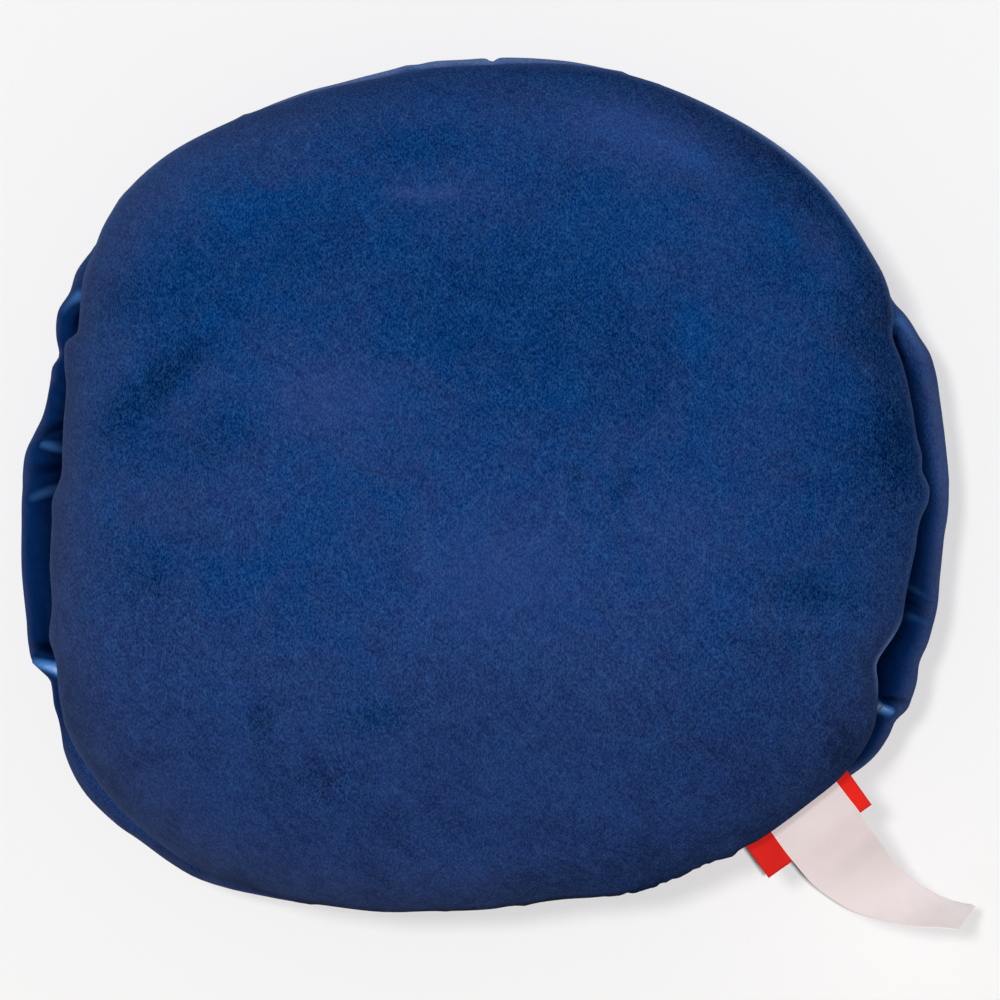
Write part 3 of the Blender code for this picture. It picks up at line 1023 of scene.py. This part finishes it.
def velvet():
    material, nodes, links, shader = new_material("navy_velvet")
    here = nodes.new("ShaderNodeTexCoord").outputs["Object"]
    dark = add_attribute(nodes, "dark")
    shine = add_attribute(nodes, "shine")

    # Uneven patches of brushed pile and a finer mottle
    patches = add_noise(nodes, links, here, 24.0, 4.0, 0.6, 1.2)
    patches = add_range(nodes, links, patches, 0.36, 0.64, -0.5, 0.5)
    mottle = add_noise(nodes, links, here, 95.0, 4.0, 0.65, 1.0)
    mottle = add_range(nodes, links, mottle, 0.34, 0.66, -0.5, 0.5)

    # Warm to cool navy, with painted grey sheen at the edge and painted shade on the front panel's sides
    cool = add_attribute(nodes, "cool")
    hue = plus(nodes, links, times(nodes, links, cool, 0.5), 0.5)
    hue = plus(nodes, links, hue, times(nodes, links, patches, 0.28))
    hue = plus(nodes, links, hue, times(nodes, links, mottle, 0.20))
    hue = add_range(nodes, links, hue, 0.0, 1.0)
    colour = add_mix(nodes, links, hue, NAVY_WARM, NAVY_COOL)
    colour = add_mix(nodes, links, add_attribute(nodes, "edge"), colour, PAINTED_EDGE_SHEEN)
    colour = add_mix(nodes, links, dark, colour, SHADED_SIDE_NAVY)

    # Brushed strokes, and the grain, calmer under the painted sheen of the edge, in the painted shade of
    # the sides, and where the pile is warm
    strokes = laid_strokes(nodes, links, here, *BRUSH_STROKES)
    strokes = add_noise(nodes, links, strokes, 1.0, 3.0, 0.6, 2.0)
    strokes = add_range(nodes, links, strokes, 0.3, 0.7, -0.5, 0.5)
    combed = nodes.new("ShaderNodeMapping")
    combed.inputs["Scale"].default_value = GRAIN_SCALE
    links.new(here, combed.inputs["Vector"])
    grain = add_noise(nodes, links, combed.outputs["Vector"], 1.0, 1.0, 0.5)
    tufts = add_noise(nodes, links, combed.outputs["Vector"], 0.45, 2.0, 0.6)
    speckle = plus(nodes, links, times(nodes, links, grain, 0.84), times(nodes, links, tufts, 0.16))
    grit = add_range(nodes, links, speckle, 0.26, 0.74, -0.5, 0.5)
    smooth_edge = add_range(nodes, links, add_attribute(nodes, "edge"), 0.0, 1.0, 1.0, 0.6)
    smooth_side = add_range(nodes, links, dark, 0.0, 1.0, 1.0, 0.12)
    plain = times(nodes, links, smooth_side, smooth_edge)
    plain = times(nodes, links, plain, add_range(nodes, links, cool, -0.9, -0.2, 0.7, 1.0))
    grit = times(nodes, links, grit, plain)

    # Painted light and shade together with the pile's marks, then what fibres add and the gaps between them
    # take away
    level = times(nodes, links, add_attribute(nodes, "light"), 0.62)
    level = plus(nodes, links, level, times(nodes, links, patches, 0.12))
    level = plus(nodes, links, level, times(nodes, links, strokes, 0.18))
    level = add_math(nodes, links, "MAXIMUM", plus(nodes, links, level, 0.96), LEAST_LIGHT)
    colour = add_mix(nodes, links, 1.0, colour, grey_of(nodes, links, level), "MULTIPLY")
    fuzz = times(nodes, links, mottle, plain)
    fuzz = times(nodes, links, fuzz, 0.24)
    fuzz = plus(nodes, links, fuzz, times(nodes, links, grit, 1.3))
    fuzz = times(nodes, links, fuzz, add_range(nodes, links, level, LEAST_LIGHT, 0.65, 0.2, 1.0))
    fibres = times(nodes, links, fuzz, 1.2)
    colour = add_mix(nodes, links, fibres, colour, PILE_FUZZ, "ADD")
    between = times(nodes, links, fuzz, -0.85)
    colour = add_mix(nodes, links, between, colour, PILE_FUZZ, "SUBTRACT")
    for heading in HAIR_HEADINGS:
        hairs = laid_strokes(nodes, links, here, heading, HAIR_LENGTHS)
        hairs = add_noise(nodes, links, hairs, 1.0, 1.0, 0.5, 1.2)
        hairs = times(nodes, links, add_range(nodes, links, hairs, 0.60, 0.69, 0.0, 0.4), plain)
        colour = add_mix(nodes, links, hairs, colour, PILE_FUZZ, "ADD")
    # Painted pale sheen along the rim, broken up by a fine speckle
    rim_sheen_speckle = add_noise(nodes, links, here, 700.0, 2.0, 0.6)
    rim_sheen_speckle = add_range(nodes, links, rim_sheen_speckle, 0.36, 0.64, 0.6, 1.0)
    rim_sheen_speckle = times(nodes, links, rim_sheen_speckle, add_attribute(nodes, "pale"))
    colour = add_mix(nodes, links, rim_sheen_speckle, colour, PAINTED_RIM_SHEEN)

    # Painted highlights on the folds, painted glints in white streaks where they are brightest, and painted
    # shade in the folds and the crease
    painted_highlight = add_range(nodes, links, shine, 0.0, 0.95)
    colour = add_mix(nodes, links, painted_highlight, colour, PAINTED_FOLD_HIGHLIGHT)
    streaks = add_noise(nodes, links, laid_strokes(nodes, links, here, *GLINT_STREAKS), 1.0, 2.0, 0.7)
    streaks = add_range(nodes, links, streaks, 0.36, 0.60)
    glint_mask = times(nodes, links, add_range(nodes, links, shine, 0.62, 1.25), streaks)
    colour = add_mix(nodes, links, glint_mask, colour, PAINTED_GLINT)
    painted_fold_shade = add_range(nodes, links, shine, -0.04, -0.85, 0.0, 0.95)
    painted_crease_mask = add_range(nodes, links, add_attribute(nodes, "crease"), 0.35, 0.8, 0.0, 0.9)
    colour = add_mix(nodes, links, add_math(nodes, links, "MAXIMUM", painted_fold_shade, painted_crease_mask), colour, PAINTED_HOLLOW_SHADE)
    links.new(colour, shader.inputs["Base Color"])

    rough = add_range(nodes, links, painted_highlight, 0.0, 1.0, 0.85, 0.5)
    links.new(rough, shader.inputs["Roughness"])
    shader.inputs["Specular IOR Level"].default_value = 0.02
    shader.inputs["IOR"].default_value = 1.2
    shader.inputs["Sheen Weight"].default_value = 0.015
    shader.inputs["Sheen Roughness"].default_value = 0.35
    shader.inputs["Sheen Tint"].default_value = (0.20, 0.30, 0.66, 1.0)
    bump = nodes.new("ShaderNodeBump")
    bump.inputs["Strength"].default_value = 0.15
    bump.inputs["Distance"].default_value = 0.0005
    links.new(grit, bump.inputs["Height"])
    links.new(bump.outputs["Normal"], shader.inputs["Normal"])
    return material


def weave_group():
    """Threads of a ribbon: across and along waves that pass over and under each other."""
    group = bpy.data.node_groups.new("ribbon_threads", "ShaderNodeTree")
    face = group.interface
    face.new_socket("Across Threads", in_out="INPUT", socket_type="NodeSocketFloat")
    face.new_socket("Along Threads", in_out="INPUT", socket_type="NodeSocketFloat")
    face.new_socket("Height", in_out="OUTPUT", socket_type="NodeSocketFloat")
    nodes = group.nodes
    links = group.links
    entry = nodes.new("NodeGroupInput")
    leave = nodes.new("NodeGroupOutput")
    place = nodes.new("ShaderNodeUVMap")
    apart = nodes.new("ShaderNodeSeparateXYZ")
    links.new(place.outputs["UV"], apart.inputs["Vector"])
    waves = []
    for axis, socket in (("X", "Across Threads"), ("Y", "Along Threads")):
        turns = times(nodes, links, apart.outputs[axis], entry.outputs[socket])
        turns = times(nodes, links, turns, 2.0 * math.pi)
        waves.append(add_math(nodes, links, "SINE", turns))
    over = times(nodes, links, waves[0], waves[1])
    height = plus(nodes, links, times(nodes, links, over, 0.5), times(nodes, links, waves[0], 0.5))
    links.new(height, leave.inputs["Height"])
    return group


def ribbon_material(name, group, threads, axis, lit_and_shaded_colours, shade, roughness, sheen, strength):
    """A ribbon whose colour runs from one to another along an axis as painted light and shade, with its
    threads and selvedges.
    """
    material, nodes, links, shader = new_material(name)
    here = nodes.new("ShaderNodeTexCoord").outputs["Object"]
    weave = nodes.new("ShaderNodeGroup")
    weave.node_tree = group
    weave.inputs["Across Threads"].default_value = threads[0]
    weave.inputs["Along Threads"].default_value = threads[1]
    soft = add_noise(nodes, links, here, 42.0, 3.0, 0.5)
    soft = add_range(nodes, links, soft, 0.3, 0.7, 0.0, 0.5)
    place = nodes.new("ShaderNodeUVMap")
    apart = nodes.new("ShaderNodeSeparateXYZ")
    links.new(place.outputs["UV"], apart.inputs["Vector"])
    # Painted light and shade: the colour runs from shaded to lit along the axis
    share = add_range(nodes, links, apart.outputs[axis], 0.15, 0.75)
    mixed = add_mix(nodes, links, share, lit_and_shaded_colours[0], lit_and_shaded_colours[1])
    mixed = add_mix(nodes, links, soft, mixed, shade)
    from_middle = add_math(nodes, links, "SUBTRACT", apart.outputs["X"], 0.5)
    from_middle = add_math(nodes, links, "ABSOLUTE", from_middle)
    selvedge = add_range(nodes, links, from_middle, 0.485, 0.5, 0.0, 0.7)
    mixed = add_mix(nodes, links, selvedge, mixed, shade)
    thread = add_range(nodes, links, weave.outputs["Height"], -1.0, 1.0, 0.22, 0.0)
    mixed = add_mix(nodes, links, thread, mixed, shade)
    links.new(mixed, shader.inputs["Base Color"])
    rough = add_range(nodes, links, soft, 0.0, 0.5, roughness, roughness + 0.12)
    links.new(rough, shader.inputs["Roughness"])
    shader.inputs["Specular IOR Level"].default_value = 0.25
    shader.inputs["Sheen Weight"].default_value = sheen
    bump = nodes.new("ShaderNodeBump")
    bump.inputs["Strength"].default_value = strength
    bump.inputs["Distance"].default_value = 0.0002
    links.new(weave.outputs["Height"], bump.inputs["Height"])
    links.new(bump.outputs["Normal"], shader.inputs["Normal"])
    return material


def floor_material():
    material, nodes, links, shader = new_material("pale_floor")
    here = nodes.new("ShaderNodeTexCoord").outputs["Object"]
    cloud = add_noise(nodes, links, here, 3.0, 2.0)
    tone = add_mix(nodes, links, cloud, *FLOOR_TONES)
    links.new(tone, shader.inputs["Base Color"])
    shader.inputs["Roughness"].default_value = 0.9
    shader.inputs["Specular IOR Level"].default_value = 0.1
    return material


# The studio

def make_floor():
    deselect()
    bpy.ops.mesh.primitive_plane_add(size=FLOOR_SIZE)
    floor = bpy.context.object
    floor.name = "floor"
    floor.data.materials.append(floor_material())


def add_sun(name, place, energy, angle):
    """A far light that shines from a place towards the middle of the floor."""
    light = bpy.data.lights.new(name, "SUN")
    light.energy = energy
    light.angle = math.radians(angle)
    obj = bpy.data.objects.new(name, light)
    bpy.context.scene.collection.objects.link(obj)
    obj.location = place
    obj.rotation_euler = (-Vector(place)).to_track_quat("-Z", "Y").to_euler()


def make_studio():
    make_floor()
    add_sun("overhead", OVERHEAD_FROM, OVERHEAD_ENERGY, OVERHEAD_ANGLE)
    add_sun("key", KEY_FROM, KEY_ENERGY, KEY_ANGLE)
    world = bpy.data.worlds.new("studio")
    world.use_nodes = True
    background = world.node_tree.nodes["Background"]
    background.inputs["Color"].default_value = (1.0, 1.0, 1.0, 1.0)
    background.inputs["Strength"].default_value = SURROUND_STRENGTH
    bpy.context.scene.world = world
    bpy.context.scene.view_settings.view_transform = "Standard"


def make_camera():
    data = bpy.data.cameras.new("camera")
    data.lens = VIEW_LENS
    data.sensor_width = SENSOR
    data.clip_end = 50.0
    camera = bpy.data.objects.new("camera", data)
    bpy.context.scene.collection.objects.link(camera)
    distance = VIEW_WIDTH * VIEW_LENS / SENSOR
    camera.location = (VIEW_MIDDLE[0], VIEW_MIDDLE[1], TRUE_SIZE_HEIGHT * MM + distance)
    bpy.context.scene.camera = camera


def finish_piece(piece, material, node):
    piece.data.materials.clear()
    piece.data.materials.append(material)
    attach(piece, "root")
    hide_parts(node)


make_camera()
make_studio()
threads = weave_group()
cover = make_cover()
finish_piece(cover, velvet(), "cushion")

woven = make_ribbon("woven_ribbon", 40, 40, woven_place)
red = ribbon_material(
    "red_ribbon", threads, (150.0, 110.0), "X", (RIBBON_RED_IN_PAINTED_SHADE, RIBBON_RED), RIBBON_DEEP_RED,
    roughness=0.7, sheen=0.0, strength=0.4,
)
finish_piece(woven, red, "woven_label")

care = make_ribbon("care_ribbon", 24, 96, care_place)
pale = ribbon_material(
    "pale_ribbon", threads, (110.0, 60.0), "Y", (SATIN_ROSE, SATIN_ROSE_PAINTED_LIGHT), SATIN_ROSE_SHADE,
    roughness=0.45, sheen=0.35, strength=0.15,
)
finish_piece(care, pale, "care_label")
